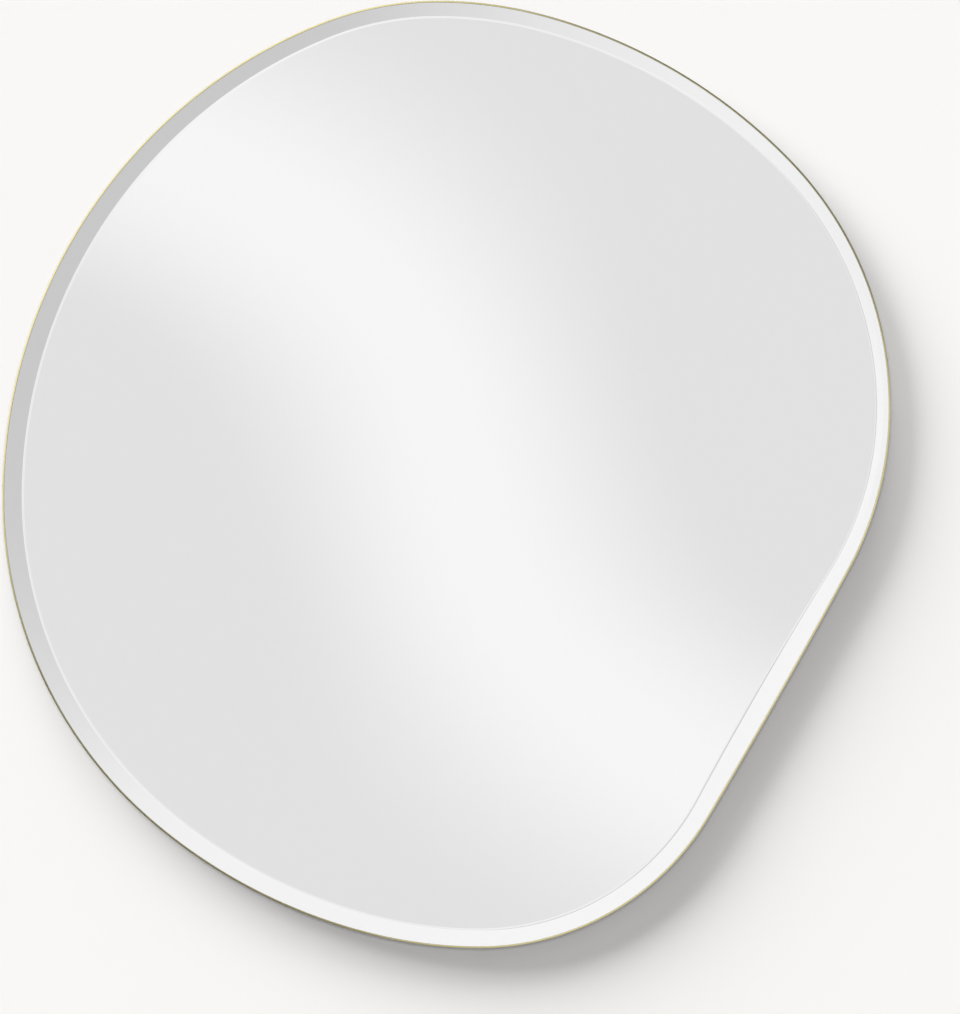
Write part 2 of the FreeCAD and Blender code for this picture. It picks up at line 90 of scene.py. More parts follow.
# The sheet steel on the back: straps with a rolled eye, and tabs on the band.
SHEET = 1.5 * MM
SHEET_EDGE = 0.2 * MM
STRAP_HALF_WIDTH = 7 * MM
STRAP_LENGTH = 50 * MM
STRAP_CORNER = 4 * MM
STRAP_HOLES = (26 * MM, 42 * MM)
EYE_RADIUS = 1.6 * MM
EYE_TURN = 285
EYE_STEPS = 40
TAB_HALF_WIDTH = 6 * MM
TAB_LENGTH = 20 * MM
TAB_LEG = 5 * MM
TAB_CORNER = 3 * MM
TAB_BEND = 2 * MM
TAB_HOLE = 12 * MM
BEND_STEPS = 8

# The D-rings.
WIRE_RADIUS = 1.5 * MM
WIRE_SIDES = 20
RING_HALF_BAR = 8 * MM
RING_CORNER = 4 * MM
RING_LEG = 2 * MM
RING_DROP = 1.3 * MM
RING_CORNER_STEPS = 10
RING_BOW_STEPS = 40

# The pan-head screws; the head is meshed by lines that follow its cross recess.
HEAD_RADIUS = 3.5 * MM
HEAD_HEIGHT = 2.2 * MM
HEAD_SIDE = 0.7 * MM
CROSS_HALF_WIDTH = 0.4 * MM
CROSS_REACH = 1.75 * MM
CROSS_DEPTH = 1.2 * MM
CROSS_DRAFT = 0.1 * MM
CROSS_RISE = 0.4
HEAD_LINES = (0, CROSS_HALF_WIDTH, CROSS_HALF_WIDTH + CROSS_DRAFT, 1.1 * MM, CROSS_REACH,
              CROSS_REACH + CROSS_DRAFT, 2.4 * MM, 2.9 * MM, 3.25 * MM, HEAD_RADIUS)
HEAD_SQUARE_SHARE = 0.55
DOME_SHARE = 0.98
THREAD_RADIUS = 1.5 * MM
CORE_RADIUS = 1.1 * MM
THREAD_PITCH = 1.3 * MM
THREAD_SHARE = 0.5
THREAD_ROWS_PER_TURN = 10
SHANK_LENGTH = 8 * MM
SHANK_POINT = 2 * MM
SHANK_TIP_SHARE = 0.2
SHANK_SIDES = 20
SCREW_TURNS = (20, 65, 8, 42)

# The rubber bumpers.
BUMPER_TAPER = 0.35 * MM
BUMPER_ROUNDING = 1.2 * MM
BUMPER_SIDES = 48

# The view: the photograph's frame, and the middle and height of the outline in its pixels.
PHOTO_WIDTH, PHOTO_HEIGHT = 960, 1014
OUTLINE_CENTRE = (446.46, 474.40)
OUTLINE_HEIGHT = 947.75
CAMERA_DISTANCE = 8.0

# The studio that the mirror and the metal show. Places are metres on the mirror's face as a straight view
# sees them in it; sides are degrees, counter-clockwise from the right; levels are strengths.
BAND_LEAN = 0.251
BAND_CURL = 8.08
BAND_SHIFT = 0.0108
BAND_CORE = 0.006
BAND_END = 0.2085
BAND_FLARE = 0.166
FACE_BRIGHT = 0.97
FACE_GREY = 0.793
RING_DARK_SIDE = 160
RING_LOBE = (0.2, 0.7)
RING_BRIGHT = 1.0
RING_DARK = 0.58
BEVEL_DARK_SIDE = 325
BEVEL_LOBE = (-0.1, 1.0)
BEVEL_BRIGHT = 0.98
BEVEL_DARK = 0.59
ROOM_BRIGHT_SIDE = 135
ROOM_LOBE = (0.3, 0.85)
ROOM_BRIGHT = 1.0
ROOM_OPPOSITE = 0.65
ROOM_DARK = 0.14
FACE_TO_RING = (0.44, 0.5)
RING_TO_BEVEL = (0.72, 0.82)
BEVEL_TO_ROOM = (2.8, 5.0)
WALL_LEVEL = 0.94
WALL_SHADE = 0.35
WALL_BRIGHT_SIDE = 125
WALL_LOBE = (-0.5, 0.5)
# Half of the soft step from the studio to the wall, and the least share of a direction to the front.
HORIZON = 0.02
LEAST_SLOPE = 0.01

# The lamps on matt surfaces: side, rise over the wall's plane, spread, and level on the wall. Those with a
# rise below zero stand behind the wall, which lets them through, and light the back.
LAMPS = {
    "front": (90, 87, 16, 0.37),
    "high": (90, 62, 30, 0.065),
    "top": (97, 20, 33, 0.155),
    "key": (136, 19, 38, 0.41),
    "back_key": (58, -47, 30, 0.5),
    "back_soft": (90, -85, 120, 0.5),
}
WALL_COLOUR = (0.955, 0.939, 0.921, 1)
WALL_SIZE = 6.0

# Noise in the materials: slow changes of shade per metre, its middle range, and its finer layers.
CLOUD_SCALE = 25.0
NOISE_RANGE = (0.3, 0.7)
NOISE_DETAIL = 4.0
STREAK_SCALE = 4.0
STREAK_STRETCH = (1, 1, 0.2)
SILVER_SCALE = 6.0


def ray(angle):
    """The direction at an angle in the wall's plane."""
    return np.array((math.cos(angle), math.sin(angle)))


def outline(insets, quarters=QUARTERS):
    """Points round the outline and their outward directions, with one inset for each outermost point.

    Each quarter is three tangent arcs, and the flank in its middle sets the other two radii."""
    half_width, half_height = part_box("rim_band")[1].xz
    reach = np.array((half_width, half_height, half_width, half_height)) - insets
    spots = [ray(side * math.pi / 2) * reach[side] for side in range(4)]
    for side, along in enumerate(SIDE_PLACES):
        spots[side] = spots[side] + (np.array((0, along)) if side % 2 == 0 else np.array((along, 0)))
    points, outward = [], []
    for side, (first_turn, flank, last_turn) in enumerate(quarters):
        following = (side + 1) % 4
        normal = side * math.pi / 2
        flank -= (insets[side] + insets[following]) / 2
        near, far = ray(math.radians(first_turn)), ray(math.radians(90 - last_turn))
        way = spots[following] - spots[side]
        inward = -way @ ray(normal) - flank * (near[0] - far[0])
        onward = way @ ray(normal + math.pi / 2) - flank * (far[1] - near[1])
        determinant = (1 - near[0]) * (1 - far[1]) - far[0] * near[1]
        first = (inward * (1 - far[1]) - onward * far[0]) / determinant
        last = (onward * (1 - near[0]) - inward * near[1]) / determinant
        turns = [normal + math.radians(turn) for turn in (0, first_turn, 90 - last_turn, 90)]
        point = spots[side]
        for radius, start, end in zip((first, flank, last), turns, turns[1:]):
            centre = point - ray(start) * radius
            for angle in np.linspace(start, end, ARC_STEPS, endpoint=False):
                points.append(centre + ray(angle) * radius)
                outward.append(ray(angle))
            point = centre + ray(end) * radius
    return np.array(points), np.array(outward)


def at_depth(points, y):
    """Points of the outline's plane as places in space."""
    return np.column_stack((points[:, 0], np.full(len(points), y), points[:, 1]))


def add_object(name, verts, faces):
    """A mesh object with smooth faces and sharp edges above an angle."""
    mesh = bpy.data.meshes.new(name)
    mesh.from_pydata([tuple(v) for v in verts], [], faces)
    shell = bmesh.new()
    shell.from_mesh(mesh)
    bmesh.ops.recalc_face_normals(shell, faces=shell.faces)
    shell.to_mesh(mesh)
    shell.free()
    mesh.shade_smooth()
    mesh.set_sharp_from_angle(angle=SHARP_ANGLE)
    piece = bpy.data.objects.new(name, mesh)
    bpy.context.scene.collection.objects.link(piece)
    return piece


def skin(rows, around=False):
    """Faces between closed rows of as many points each; the end rows become caps or are joined up."""
    count = len(rows[0])
    last = len(rows) - 1
    pairs = list(zip(range(last), range(1, last + 1)))
    if around:
        pairs.append((last, 0))
    faces = []
    for here, there in pairs:
        for step in range(count):
            after = (step + 1) % count
            faces.append((here * count + step, here * count + after,
                          there * count + after, there * count + step))
    if not around:
        cap = range(count)
        faces += [tuple(reversed(cap)), tuple(last * count + vertex for vertex in cap)]
    return faces


def loft(name, rows, **ends):
    """A mesh object from closed rows of points."""
    return add_object(name, np.concatenate(rows), skin(rows, **ends))


def weigh_normals(piece):
    """Keep flat faces flat beside small roundings."""
    weighted = piece.modifiers.new("flat_faces_stay_flat", "WEIGHTED_NORMAL")
    weighted.keep_sharp = True
    weighted.weight = FLAT_FACE_WEIGHT


def ease_edges(piece, width):
    """Break the sharp edges."""
    bevel = piece.modifiers.new("broken_edges", "BEVEL")
    bevel.width = width
    bevel.segments = BROKEN_SEGMENTS
    bevel.limit_method = "ANGLE"
    bevel.angle_limit = BROKEN_ANGLE
    weigh_normals(piece)


def belongs(piece, node, material, body="mirror"):
    """Give a piece its material and body, and hide the CAD node that it takes the place of."""
    piece.data.materials.append(material)
    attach(piece, body)
    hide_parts(node)
    return piece


def shrunk(row, share):
    """A row of the flat faces, drawn in towards the middle of the outline's box."""
    middle = np.array((0, row[0][1], 0))
    return middle + (row - middle) * share


def bevelled_glass():
    """The glass: flat face, small rounding at the ridge, bevel, plain edge and flat back."""
    low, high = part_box("mirror_glass")
    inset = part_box("rim_band")[1].x - high.x
    edge_points, _ = outline([RIM_THICKNESS + GLASS_CLEARANCE] * 4)
    ridge_points, outward = outline([inset + bevel for bevel in BEVELS], RIDGE_QUARTERS)
    front, back = low.y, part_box("silver_coat")[0].y + COAT_OVERLAP
    foot = at_depth(edge_points, high.y - EDGE_LAND)
    ridge = at_depth(ridge_points, front)
    slope = foot - ridge
    slope /= np.linalg.norm(slope, axis=1)[:, None]
    begin = ridge - at_depth(outward, 0) * RIDGE_ROUNDING
    end = ridge + slope * RIDGE_ROUNDING
    rounding = [(1 - s) ** 2 * begin + 2 * s * (1 - s) * ridge + s ** 2 * end
                for s in np.linspace(0, 1, RIDGE_STEPS + 1)]
    edge = at_depth(edge_points, back)
    rows = [shrunk(begin, 1 / 3), shrunk(begin, 2 / 3), *rounding, foot, edge,
            shrunk(edge, 2 / 3), shrunk(edge, 1 / 3)]
    glass = loft("bevelled_glass", rows)
    weigh_normals(glass)
    return glass


def silver_sheet():
    """The silvering, carried out to the very edge of the glass."""
    low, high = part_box("silver_coat")
    points, _ = outline([RIM_THICKNESS + GLASS_CLEARANCE + COAT_MARGIN] * 4)
    return loft("silver_sheet", [at_depth(points, low.y), at_depth(points, high.y)])


def rim_profile():
    """The band's section as distance inside the outline and depth, from the back of its outer side."""
    low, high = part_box("rim_band")
    front, back = low.y, high.y
    section = []
    quarter = np.linspace(0, math.pi / 2, ROUNDING_STEPS + 1)
    for angle in quarter:
        section.append((RIM_BACK_ROUNDING * (1 - math.sin(angle)),
                        back - RIM_BACK_ROUNDING * (1 - math.cos(angle))))
    outer_tilt, inner_tilt = RIM_CROWN_TILTS
    for tilt in np.linspace(outer_tilt, inner_tilt, ROUNDING_STEPS + 1):
        section.append((RIM_CROWN_RADIUS * (math.sin(outer_tilt) - math.sin(tilt)),
                        front + RIM_CROWN_RADIUS * (math.cos(inner_tilt) - math.cos(tilt))))
    for angle in quarter:
        section.append((RIM_THICKNESS - RIM_INNER_ROUNDING * (1 - math.sin(angle)),
                        front + RIM_INNER_ROUNDING * (1 - math.cos(angle))))
    for angle in quarter:
        section.append((RIM_THICKNESS - RIM_BACK_ROUNDING * (1 - math.cos(angle)),
                        back - RIM_BACK_ROUNDING * (1 - math.sin(angle))))
    return section


def rim_band():
    """The band: its section carried round the outline."""
    points, outward = outline([0] * 4)
    rows = [at_depth(points - outward * inset, y) for inset, y in rim_profile()]
    rim = loft("formed_rim_band", rows, around=True)
    weigh_normals(rim)
    return rim


def sawn_board():
    """The board that carries the glass, its sharp edges broken."""
    low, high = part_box("backing_board")
    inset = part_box("rim_band")[1].x - high.x
    side, _ = outline([inset] * 4)
    face, _ = outline([inset + BOARD_EDGE] * 4)
    rows = [at_depth(face, low.y), at_depth(side, low.y + BOARD_EDGE),
            at_depth(side, high.y - BOARD_EDGE), at_depth(face, high.y)]
    return loft("sawn_board", rows)


def bent_strip(name, path, half_widths, origin, along):
    """A strip of sheet bent along a path of distance and height on the board.

    The distance runs along a direction of the board's plane, and the height towards the wall."""
    path = np.array(path)
    tangent = np.gradient(path, axis=0)
    tangent /= np.linalg.norm(tangent, axis=1)[:, None]
    normal = np.column_stack((-tangent[:, 1], tangent[:, 0]))
    along, up = np.array(along), np.array((0, 1, 0))
    across = np.cross(along, up)
    rows = []
    for point, away, half_width in zip(path, normal, half_widths):
        row = []
        for side, face in ((-1, -1), (1, -1), (1, 1), (-1, 1)):
            distance, height = point + away * face * SHEET / 2
            row.append(np.array(origin) + along * distance + up * height + across * side * half_width)
        rows.append(np.array(row))
    strip = loft(name, rows)
    ease_edges(strip, SHEET_EDGE)
    return strip


def pivot_of(side):
    """The middle of a D-ring's bar, in its strap's eye."""
    low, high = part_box("hanger_strap_" + side)
    outer = EYE_RADIUS + SHEET
    return Vector(((low.x + high.x) / 2, low.y + outer, high.z - outer))


def hanger_strap(side):
    """A strap whose upper end is rolled round the ring's bar, with cut lower corners."""
    pivot = pivot_of(side)
    centre_height = EYE_RADIUS + SHEET
    roll = EYE_RADIUS + SHEET / 2
    path = [(STRAP_LENGTH, SHEET / 2), (STRAP_LENGTH - STRAP_CORNER, SHEET / 2)]
    path += [(-roll * math.sin(turn), centre_height - roll * math.cos(turn))
             for turn in np.linspace(0, math.radians(EYE_TURN), EYE_STEPS)]
    half_widths = [STRAP_HALF_WIDTH - STRAP_CORNER] + [STRAP_HALF_WIDTH] * (len(path) - 1)
    origin = (pivot.x, pivot.y - centre_height, pivot.z)
    return bent_strip("rolled_strap_" + side, path, half_widths, origin, (0, 0, -1))


def tab_place(side):
    """Where a tab's leg meets the board, and its direction into the board."""
    low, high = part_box("rim_tab_%d" % (side + 1))
    x, z = ray(side * math.pi / 2)
    outward = Vector((x, 0, z))
    middle = (low + high) / 2
    return Vector((middle.x, low.y, middle.z)) + outward * TAB_LENGTH / 2, -outward


def rim_tab(side):
    """An L of sheet: its foot lies on the board, its leg stands along the band."""
    origin, inward = tab_place(side)
    bend = TAB_BEND - SHEET / 2
    path = [(TAB_LENGTH, SHEET / 2), (TAB_LENGTH - TAB_CORNER, SHEET / 2)]
    path += [(TAB_BEND - bend * math.sin(turn), TAB_BEND - bend * math.cos(turn))
             for turn in np.linspace(0, math.pi / 2, BEND_STEPS)]
    path.append((SHEET / 2, TAB_LEG))
    half_widths = [TAB_HALF_WIDTH - TAB_CORNER] + [TAB_HALF_WIDTH] * (len(path) - 1)
    return bent_strip("bent_tab_%d" % (side + 1), path, half_widths, origin, inward)


def hanger_ring(side):
    """A D of round wire that leans back onto the board."""
    wide = RING_HALF_BAR + RING_CORNER
    shoulder = RING_CORNER + RING_LEG
    # Centre, radius, start, end and steps of each bend, counter-clockwise from the right end of the bar.
    corners = (
        (RING_HALF_BAR, RING_CORNER, RING_CORNER, -90, 0, RING_CORNER_STEPS),
        (0, shoulder, wide, 0, 180, RING_BOW_STEPS),
        (-RING_HALF_BAR, RING_CORNER, RING_CORNER, 180, 270, RING_CORNER_STEPS),
    )
    reach = shoulder + wide
    lean = Matrix.Rotation(math.asin(RING_DROP / reach), 3, "X")
    pivot = pivot_of(side)
    rows = []
    for x, z, radius, start, end, steps in corners:
        for angle in np.radians(np.linspace(start, end, steps + 1)):
            way = Vector((math.cos(angle), 0, math.sin(angle)))
            centre = Vector((x, 0, z)) + way * radius
            section = [centre + (way * math.cos(turn) + Vector((0, math.sin(turn), 0))) * WIRE_RADIUS
                       for turn in np.linspace(0, 2 * math.pi, WIRE_SIDES, endpoint=False)]
            rows.append(np.array([pivot + lean @ point for point in section]))
    return loft("wire_ring_" + side, rows, around=True)


def head_height(x, z):
    """Height of the screw's domed head with its cross recess."""
    radius = min(math.hypot(x, z) / HEAD_RADIUS, 1)
    dome = HEAD_SIDE + (HEAD_HEIGHT - HEAD_SIDE) * math.sqrt(1 - DOME_SHARE * radius ** 2)
    arm, width = max(abs(x), abs(z)), min(abs(x), abs(z))
    if width > CROSS_HALF_WIDTH + CROSS_DRAFT / 2 or arm > CROSS_REACH + CROSS_DRAFT / 2:
        return dome
    return dome - CROSS_DEPTH * (1 - CROSS_RISE * (arm / CROSS_REACH) ** 2)


def screw_head():
    """The head on a square net that turns round towards its edge, with its side and underside."""
    lines = [-line for line in HEAD_LINES[:0:-1]] + list(HEAD_LINES)
    count = len(lines)
    verts = []
    for x in lines:
        for z in lines:
            arm = max(abs(x), abs(z))
            share = max((arm / HEAD_RADIUS - HEAD_SQUARE_SHARE) / (1 - HEAD_SQUARE_SHARE), 0)
            pull = 1 + share * (arm / math.hypot(x, z) - 1) if arm else 1
            verts.append((x * pull, head_height(x * pull, z * pull), z * pull))
    last = count - 1
    faces = []
    for row in range(last):
        for step in range(last):
            corner = row * count + step
            faces.append((corner, corner + 1, corner + count + 1, corner + count))
    border = [(0, step) for step in range(last)] + [(step, last) for step in range(last)]
    border += [(last, last - step) for step in range(last)] + [(last - step, 0) for step in range(last)]
    edge = [row * count + step for row, step in border]
    foot = len(verts)
    verts += [(verts[index][0], 0, verts[index][2]) for index in edge]
    ring = range(foot, foot + len(edge))
    faces += [(edge[step - 1], edge[step], ring[step], ring[step - 1]) for step in range(len(edge))]
    faces.append(tuple(ring))
    return verts, faces


def screw_shank():
    """The shank below the head, with a thread that runs round it in a helix down to its point."""
    row_count = round(SHANK_LENGTH / THREAD_PITCH * THREAD_ROWS_PER_TURN)
    rows = []
    for depth in np.linspace(0, SHANK_LENGTH, row_count + 1):
        taper = min(1, SHANK_TIP_SHARE + (SHANK_LENGTH - depth) / SHANK_POINT)
        row = []
        for angle in np.linspace(0, 2 * math.pi, SHANK_SIDES, endpoint=False):
            phase = (depth / THREAD_PITCH - angle / (2 * math.pi)) % 1
            crest = max(0, 1 - abs(phase - 0.5) * 2 / THREAD_SHARE)
            radius = (CORE_RADIUS + (THREAD_RADIUS - CORE_RADIUS) * crest) * taper
            row.append((radius * math.cos(angle), -depth, radius * math.sin(angle)))
        rows.append(np.array(row))
    return [tuple(vert) for row in rows for vert in row], skin(rows)


def screw_group(name, places):
    """Pan-head wood screws, their heads towards the wall and each turned as it happened to stop."""
    parts = (screw_head(), screw_shank())
    verts, faces = [], []
    for place, turn in zip(places, SCREW_TURNS):
        turned = Matrix.Rotation(math.radians(turn), 3, "Y")
        for part_verts, part_faces in parts:
            first = len(verts)
            verts += [Vector(place) + turned @ Vector(vert) for vert in part_verts]
            faces += [tuple(first + index for index in face) for face in part_faces]
    return add_object(name, verts, faces)


def wall_bumper(index):
    """A turned rubber foot, a little narrower at its rounded end against the wall."""
    low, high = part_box("wall_bumper_%d" % index)
    middle = (low + high) / 2
    base = (high.x - low.x) / 2
    end = base - BUMPER_TAPER
    profile = [(base, low.y)]
    for angle in np.linspace(0, math.pi / 2, ROUNDING_STEPS + 1):
        profile.append((end - BUMPER_ROUNDING * (1 - math.cos(angle)),
                        high.y - BUMPER_ROUNDING * (1 - math.sin(angle))))
    profile.append((end / 2, high.y))
    rows = [np.array([(middle.x + radius * math.cos(angle), y, middle.z + radius * math.sin(angle))
                      for angle in np.linspace(0, 2 * math.pi, BUMPER_SIDES, endpoint=False)])
            for radius, y in profile]
    return loft("turned_bumper_%d" % index, rows)


def node_of(tree, kind, settings=None, **inputs):
    """A shader node with its settings; an input is a value or another node's output.

    Inputs go by their names, or by their places as i0, i1 and so on."""
    made = tree.nodes.new(kind)
    for name, value in (settings or {}).items():
        setattr(made, name, value)
    for name, value in inputs.items():
        socket = made.inputs[int(name[1:])] if name[1:].isdigit() else made.inputs[name.replace("_", " ")]
        if isinstance(value, bpy.types.NodeSocket):
            tree.links.new(value, socket)
        else:
            socket.default_value = value
    return made


def calc(tree, operation, *values):
    """The output of a math node."""
    inputs = {"i%d" % index: value for index, value in enumerate(values)}
    return node_of(tree, "ShaderNodeMath", {"operation": operation}, **inputs).outputs[0]


def ease(tree, value, start, end, before, after):
    """A value that changes smoothly between two places."""
    return node_of(tree, "ShaderNodeMapRange", {"interpolation_type": "SMOOTHSTEP"}, Value=value,
                   From_Min=start, From_Max=end, To_Min=before, To_Max=after).outputs[0]


def towards(tree, x, z, degrees):
    """How far a vector of the wall's plane reaches towards a side."""
    along_x = calc(tree, "MULTIPLY", x, math.cos(math.radians(degrees)))
    return calc(tree, "MULTIPLY_ADD", z, math.sin(math.radians(degrees)), along_x)


def new_material(name, **inputs):
    """A material with fixed values on its shader."""
    material = bpy.data.materials.new(name)
    material.use_nodes = True
    shader = material.node_tree.nodes["Principled BSDF"]
    for key, value in inputs.items():
        shader.inputs[key.replace("_", " ")].default_value = value
    return material


def grain(tree, scale, stretch=(1, 1, 1), cells=False):
    """Noise over the object in metres, or the shade of random cells; a small stretch draws it out."""
    coordinates = node_of(tree, "ShaderNodeTexCoord").outputs["Object"]
    mapped = node_of(tree, "ShaderNodeMapping", Vector=coordinates, Scale=stretch).outputs[0]
    if cells:
        colour = node_of(tree, "ShaderNodeTexVoronoi", Vector=mapped, Scale=scale).outputs["Color"]
        return node_of(tree, "ShaderNodeSeparateColor", Color=colour).outputs[0]
    return node_of(tree, "ShaderNodeTexNoise", Vector=mapped, Scale=scale, Detail=NOISE_DETAIL).outputs[0]


def vary_colour(material, factor, dark, light):
    """Let a material's colour run between two shades."""
    tree = material.node_tree
    mixed = node_of(tree, "ShaderNodeMix", {"data_type": "RGBA"}, i0=factor, i6=(*dark, 1), i7=(*light, 1))
    tree.links.new(mixed.outputs[2], tree.nodes["Principled BSDF"].inputs["Base Color"])


def surface(name, dark, light, gloss, relief, scale, stretch=(1, 1, 1), cells=False, metal=0.0):
    """A material whose colour, roughness and fine relief follow its grain, under slow cloudy changes."""
    material = new_material(name, Metallic=metal)
    tree = material.node_tree
    shader = tree.nodes["Principled BSDF"]
    fine = grain(tree, scale, stretch, cells)
    cloud = grain(tree, CLOUD_SCALE)
    shade = calc(tree, "MULTIPLY_ADD", cloud, 0.5, calc(tree, "MULTIPLY", fine, 0.5))
    vary_colour(material, ease(tree, shade, *NOISE_RANGE, 0.0, 1.0), dark, light)
    tree.links.new(ease(tree, fine, *NOISE_RANGE, *gloss), shader.inputs["Roughness"])
    bump = node_of(tree, "ShaderNodeBump", Height=fine, Distance=relief, Strength=1.0)
    tree.links.new(bump.outputs[0], shader.inputs["Normal"])
    return material


def float_glass():
    """Clear glass with the faint green of its body, a little deeper in slow streaks."""
    material = new_material("float_glass", Transmission_Weight=1.0, IOR=1.52, Roughness=0.0)
    streaks = grain(material.node_tree, STREAK_SCALE, STREAK_STRETCH)
    vary_colour(material, streaks, (0.968, 0.984, 0.976), (0.974, 0.987, 0.981))
    return material


def silvering():
    """The bright metal behind the glass, with the faintest unevenness."""
    material = new_material("silvering", Metallic=1.0, Roughness=0.0)
    cloud = grain(material.node_tree, SILVER_SCALE)
    vary_colour(material, cloud, (0.977, 0.962, 0.969), (0.983, 0.968, 0.975))
    return material


def photo_scale():
    """Metres in a pixel of the photograph."""
    low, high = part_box("rim_band")
    return (high.z - low.z) / OUTLINE_HEIGHT


def camera_place():
    """The frame's middle, straight in front of the wall."""
    x = (PHOTO_WIDTH / 2 - OUTLINE_CENTRE[0]) * photo_scale()
    z = (OUTLINE_CENTRE[1] - PHOTO_HEIGHT / 2) * photo_scale()
    return Vector((x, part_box("silver_coat")[0].y - CAMERA_DISTANCE, z))


def add_camera():
    """The camera, with the photograph's frame at the band's front."""
    camera = bpy.data.objects.new("camera", bpy.data.cameras.new("camera"))
    bpy.context.scene.collection.objects.link(camera)
    camera.location = camera_place()
    camera.rotation_euler = (math.pi / 2, 0, 0)
    camera.data.sensor_fit = "HORIZONTAL"
    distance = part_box("rim_band")[0].y - camera.location.y
    camera.data.lens = camera.data.sensor_width * distance / (PHOTO_WIDTH * photo_scale())
    camera.data.clip_end = 4 * CAMERA_DISTANCE
    bpy.context.scene.camera = camera


def band_level(tree, x, z):
    """The soft light across the mirror's face: an S from the upper left to the lower right."""
    z_squared = calc(tree, "MULTIPLY", z, z)
    bend = calc(tree, "MULTIPLY_ADD", z_squared, BAND_CURL, BAND_LEAN)
    aside = calc(tree, "MULTIPLY_ADD", bend, z, calc(tree, "SUBTRACT", x, BAND_SHIFT))
    steep = calc(tree, "MULTIPLY_ADD", z_squared, 3 * BAND_CURL, BAND_LEAN)
    length = calc(tree, "SQRT", calc(tree, "MULTIPLY_ADD", steep, steep, 1.0))
    offset = calc(tree, "DIVIDE", aside, length)
    flare = calc(tree, "MULTIPLY", calc(tree, "SIGN", offset), -BAND_FLARE)
    end = calc(tree, "MULTIPLY_ADD", flare, z, BAND_END)
    return ease(tree, calc(tree, "ABSOLUTE", offset), BAND_CORE, end, FACE_BRIGHT, FACE_GREY)


def studio_level(tree, split):
    """What the glass and the metal show in a direction, split into its three parts.

    It is laid out by where a straight view sees it in the mirror: the face in the middle, round it the ring
    that the ridge shows, then what the bevel shows, and beyond that the room at the sides."""
    camera = camera_place()
    depth = calc(tree, "MAXIMUM", calc(tree, "MULTIPLY", split[1], -1.0), LEAST_SLOPE)
    x = calc(tree, "MULTIPLY_ADD", calc(tree, "DIVIDE", split[0], depth), CAMERA_DISTANCE, camera.x)
    z = calc(tree, "MULTIPLY_ADD", calc(tree, "DIVIDE", split[2], depth), CAMERA_DISTANCE, camera.z)
    radius = calc(tree, "SQRT", calc(tree, "MULTIPLY_ADD", x, x, calc(tree, "MULTIPLY", z, z)))
    side = (calc(tree, "DIVIDE", x, radius), calc(tree, "DIVIDE", z, radius))
    ring = ease(tree, towards(tree, *side, RING_DARK_SIDE), *RING_LOBE, RING_BRIGHT, RING_DARK)
    bevel = ease(tree, towards(tree, *side, BEVEL_DARK_SIDE), *BEVEL_LOBE, BEVEL_BRIGHT, BEVEL_DARK)
    room_side = towards(tree, *side, ROOM_BRIGHT_SIDE)
    lit = ease(tree, room_side, -1.0, 1.0, ROOM_OPPOSITE, ROOM_BRIGHT)
    room = ease(tree, calc(tree, "ABSOLUTE", room_side), *ROOM_LOBE, ROOM_DARK, lit)
    wall = ease(tree, towards(tree, *side, WALL_BRIGHT_SIDE), *WALL_LOBE, WALL_SHADE, WALL_LEVEL)
    level = ease(tree, radius, *FACE_TO_RING, band_level(tree, x, z), ring)
    level = ease(tree, radius, *RING_TO_BEVEL, level, bevel)
    level = ease(tree, radius, *BEVEL_TO_ROOM, level, room)
    return ease(tree, split[1], -HORIZON, HORIZON, level, wall)


def add_world():
    """A soft studio that only the glass and the metal show."""
    world = bpy.data.worlds.new("studio")
    bpy.context.scene.world = world
    world.use_nodes = True
    tree = world.node_tree
    tree.nodes.clear()
    direction = node_of(tree, "ShaderNodeTexCoord").outputs["Generated"]
    split = node_of(tree, "ShaderNodeSeparateXYZ", Vector=direction).outputs
    path = node_of(tree, "ShaderNodeLightPath").outputs
    mirrored = calc(tree, "MAXIMUM", path["Is Glossy Ray"], path["Is Transmission Ray"])
    level = calc(tree, "MULTIPLY", mirrored, studio_level(tree, split))
    level = ease(tree, path["Is Camera Ray"], 0.0, 1.0, level, WALL_LEVEL)
    background = node_of(tree, "ShaderNodeBackground", Color=(1, 1, 1, 1), Strength=level)
    output = node_of(tree, "ShaderNodeOutputWorld")
    tree.links.new(background.outputs[0], output.inputs["Surface"])


def add_sun(name, direction, level, spread):
    """An even lamp that adds a level of light to a surface in the wall's plane."""
    sun = bpy.data.objects.new(name, bpy.data.lights.new(name, "SUN"))
    bpy.context.scene.collection.objects.link(sun)
    direction = Vector(direction).normalized()
    sun.rotation_euler = direction.to_track_quat("Z", "Y").to_euler()
    sun.data.energy = level * math.pi / abs(direction.y)
    sun.data.angle = math.radians(spread)
    sun.visible_glossy = False
    sun.visible_transmission = False


def add_lights():
    """All the lamps."""
    for name, (side, rise, spread, level) in LAMPS.items():
        x, z = ray(math.radians(side)) * math.cos(math.radians(rise))
        add_sun(name, (x, -math.sin(math.radians(rise)), z), level, spread)


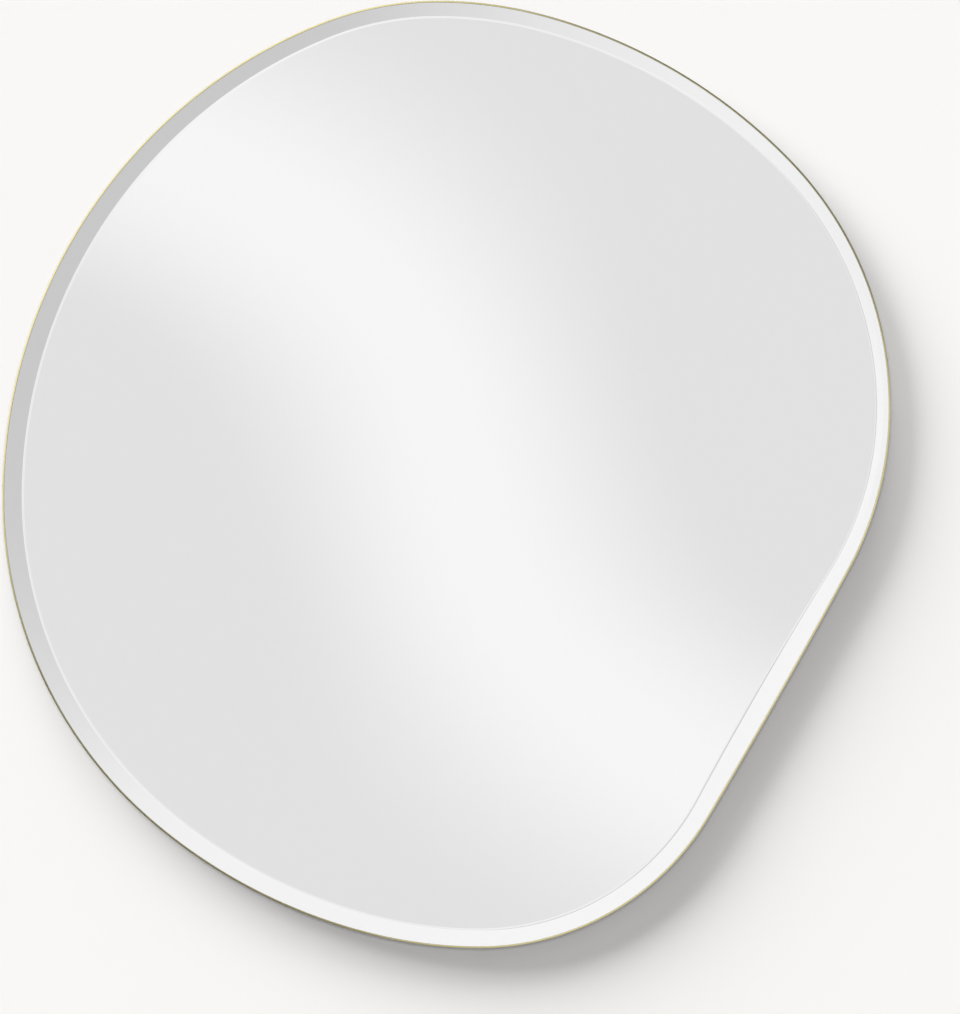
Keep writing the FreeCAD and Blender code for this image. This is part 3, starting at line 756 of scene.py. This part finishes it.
def add_wall():
    """The wall: it takes the mirror's shadow, and is clear from behind so that the back can be seen."""
    half = WALL_SIZE / 2
    corners = [(-half, 0, -half), (half, 0, -half), (half, 0, half), (-half, 0, half)]
    wall = add_object("wall", corners, [(0, 1, 2, 3)])
    material = bpy.data.materials.new("wall_paint")
    material.use_nodes = True
    tree = material.node_tree
    tree.nodes.clear()
    paint = node_of(tree, "ShaderNodeBsdfDiffuse", Color=WALL_COLOUR)
    clear = node_of(tree, "ShaderNodeBsdfTransparent")
    behind = node_of(tree, "ShaderNodeNewGeometry").outputs["Backfacing"]
    mix = node_of(tree, "ShaderNodeMixShader", i0=behind, i1=paint.outputs[0], i2=clear.outputs[0])
    output = node_of(tree, "ShaderNodeOutputMaterial")
    tree.links.new(mix.outputs[0], output.inputs["Surface"])
    wall.data.materials.append(material)
    wall.visible_diffuse = False
    wall.visible_glossy = False
    wall.visible_transmission = False
    wall.visible_shadow = False


def dress_node(node, material):
    """Give a CAD node that stays as it is its material."""
    nodes[node].data.materials.clear()
    nodes[node].data.materials.append(material)


brass = surface("brushed_brass", dark=(0.84, 0.75, 0.39), light=(0.92, 0.835, 0.48), gloss=(0.15, 0.24),
                relief=0.004 * MM, scale=2500.0, stretch=(0.01, 1, 0.01), metal=1.0)
steel = surface("zinc_plate", dark=(0.60, 0.61, 0.62), light=(0.74, 0.74, 0.73), gloss=(0.26, 0.42),
                relief=0.004 * MM, scale=700.0, cells=True, metal=1.0)
nickel = surface("nickel_wire", dark=(0.66, 0.64, 0.60), light=(0.77, 0.75, 0.71), gloss=(0.14, 0.24),
                 relief=0.004 * MM, scale=1500.0, metal=1.0)
screw_zinc = surface("screw_zinc", dark=(0.52, 0.52, 0.50), light=(0.68, 0.68, 0.66), gloss=(0.24, 0.38),
                     relief=0.006 * MM, scale=1800.0, metal=1.0)
rubber = surface("matt_rubber", dark=(0.028, 0.028, 0.029), light=(0.055, 0.054, 0.053), gloss=(0.62, 0.82),
                 relief=0.03 * MM, scale=1200.0)
fibreboard = surface("fibreboard", dark=(0.455, 0.34, 0.22), light=(0.555, 0.425, 0.29), gloss=(0.72, 0.92),
                     relief=0.05 * MM, scale=420.0, stretch=(1, 1, 0.45))
film = surface("safety_film", dark=(0.70, 0.73, 0.75), light=(0.79, 0.81, 0.82), gloss=(0.28, 0.40),
               relief=0.01 * MM, scale=300.0)
adhesive = surface("cured_adhesive", dark=(0.80, 0.78, 0.70), light=(0.89, 0.87, 0.80), gloss=(0.40, 0.55),
                   relief=0.08 * MM, scale=160.0)
tape = surface("foam_tape", dark=(0.80, 0.80, 0.78), light=(0.92, 0.92, 0.90), gloss=(0.78, 0.95),
               relief=0.06 * MM, scale=1400.0, cells=True)

glass = belongs(bevelled_glass(), "mirror_glass", float_glass())
silver = belongs(silver_sheet(), "silver_coat", silvering())
rim = belongs(rim_band(), "rim_band", brass)
board = belongs(sawn_board(), "backing_board", fibreboard)
for side in range(4):
    belongs(rim_tab(side), "rim_tab_%d" % (side + 1), steel)
for side in ("left", "right"):
    belongs(hanger_strap(side), "hanger_strap_" + side, steel)
    belongs(hanger_ring(side), "hanger_ring_" + side, nickel, body="ring_" + side)
for index in range(1, 5):
    belongs(wall_bumper(index), "wall_bumper_%d" % index, rubber)
under_head = Vector((0, SHEET, 0))
tab_screw_places = []
for side in range(4):
    origin, inward = tab_place(side)
    tab_screw_places.append(origin + inward * TAB_HOLE + under_head)
belongs(screw_group("threaded_tab_screws", tab_screw_places), "tab_screws", screw_zinc)
strap_screw_places = [pivot_of(side) - Vector((0, EYE_RADIUS, below))
                      for side in ("left", "right") for below in STRAP_HOLES]
belongs(screw_group("threaded_hanger_screws", strap_screw_places), "hanger_screws", screw_zinc)
kept_nodes = {"safety_film": film, "adhesive_beads": adhesive}
for index in range(1, 5):
    kept_nodes["tape_strip_%d" % index] = tape
for node, material in kept_nodes.items():
    dress_node(node, material)
# The wall takes no stray light from the layers beside it.
for layer in [glass, silver, rim, board] + [nodes[node] for node in kept_nodes]:
    layer.visible_diffuse = False

add_world()
add_lights()
add_wall()
add_camera()
bpy.context.scene.view_settings.view_transform = "Standard"
